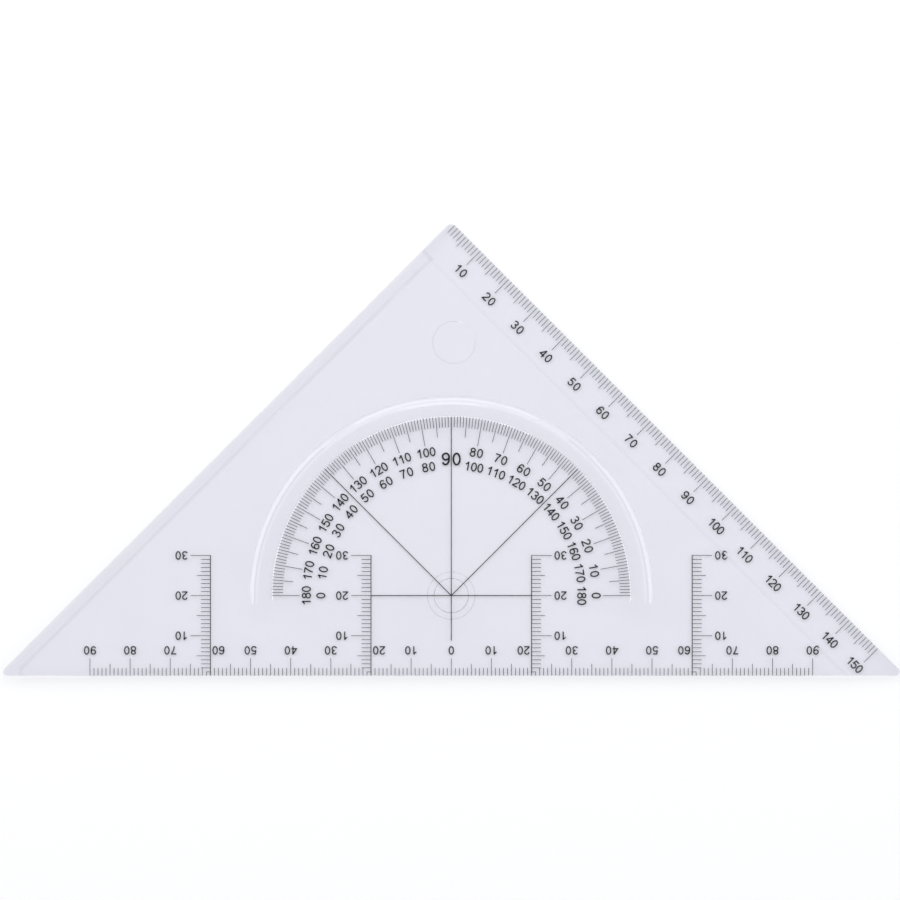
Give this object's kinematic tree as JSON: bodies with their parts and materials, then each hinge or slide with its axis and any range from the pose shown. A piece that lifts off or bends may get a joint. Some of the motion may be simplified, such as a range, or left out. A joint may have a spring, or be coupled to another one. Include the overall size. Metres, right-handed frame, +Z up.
{
  "type": "set square",
  "caption": "Clear 45 degree set square with a ruling bevel, an inking edge, a raised finger ridge, printed millimetre scales and a protractor.",
  "frame": {"origin": "middle of the plate's outline on its printed underside, which rests on the paper", "axes": "+X along the long edge towards the ruling edge's end, +Y from the long edge towards the right-angled apex, +Z up out of the face with the finger ridge"},
  "size_m": [0.2234, 0.1126, 0.0034],
  "materials": {
    "clear_plastic": "clear polished polystyrene",
    "print": "thin black print"
  },
  "bodies": {
    "root": {"plate": "clear_plastic", "base_scale": "print", "leg_scale": "print", "protractor_scale": "print", "angle_lines": "print", "upright_scale_left_outer": "print", "upright_scale_left_inner": "print", "upright_scale_right_inner": "print", "upright_scale_right_outer": "print"}
  },
  "joints": []
}
